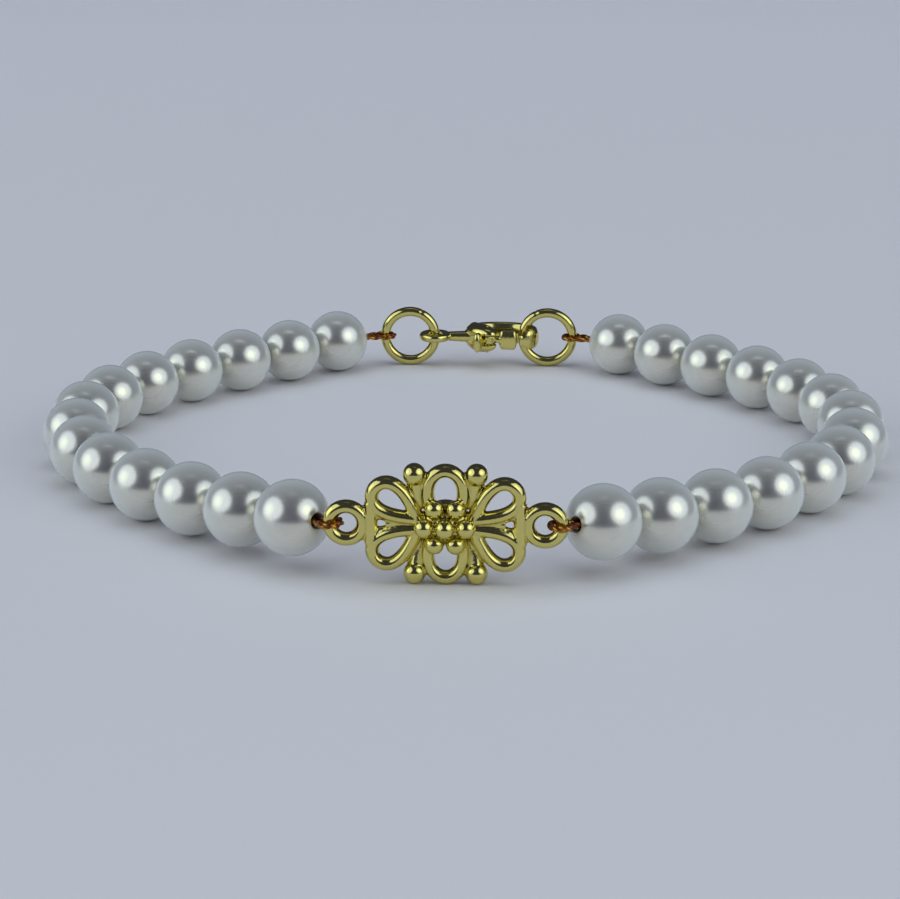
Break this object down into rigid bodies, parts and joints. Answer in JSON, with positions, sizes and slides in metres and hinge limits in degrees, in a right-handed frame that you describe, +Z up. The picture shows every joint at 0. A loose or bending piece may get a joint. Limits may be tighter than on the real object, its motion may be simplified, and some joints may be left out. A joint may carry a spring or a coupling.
{
  "type": "pearl bracelet",
  "caption": "Closed bracelet of round white pearls on thread, with a pierced gold flower connector in front and a lobster clasp between two rings behind.",
  "frame": {"origin": "under the middle of the closed loop's outline, on the surface that it rests on", "axes": "+Z up; the flower connector faces -Y and the clasp is on the +Y side; +X to the right seen from the front"},
  "size_m": [0.0622, 0.061, 0.0079],
  "materials": {
    "pearl": "white pearl coating, high lustre",
    "gold": "polished light gold plate",
    "thread": "twisted, slightly shiny"
  },
  "bodies": {
    "root": {"pearl_left_01": "pearl", "pearl_left_02": "pearl", "pearl_left_03": "pearl", "pearl_left_04": "pearl", "pearl_left_05": "pearl", "pearl_left_06": "pearl", "pearl_left_07": "pearl", "pearl_left_08": "pearl", "pearl_left_09": "pearl", "pearl_left_10": "pearl", "pearl_left_11": "pearl", "pearl_left_12": "pearl", "pearl_left_13": "pearl", "pearl_left_14": "pearl", "pearl_right_01": "pearl", "pearl_right_02": "pearl", "pearl_right_03": "pearl", "pearl_right_04": "pearl", "pearl_right_05": "pearl", "pearl_right_06": "pearl", "pearl_right_07": "pearl", "pearl_right_08": "pearl", "pearl_right_09": "pearl", "pearl_right_10": "pearl", "pearl_right_11": "pearl", "pearl_right_12": "pearl", "pearl_right_13": "pearl", "pearl_right_14": "pearl", "connector": "gold", "ring_left": "gold", "ring_right": "gold", "clasp_body": "gold", "thread_left": "thread", "thread_right": "thread"},
    "lever": {"clasp_lever": "gold"}
  },
  "joints": [
    {"name": "clasp_lever_hinge", "type": "hinge", "parent": "root", "child": "lever", "pos_m": [0.00075, 0.02756, 0.0025], "axis": [0, 0, 1], "range_deg": [0, 25], "stiffness_Nm_per_rad": 0.002}
  ]
}
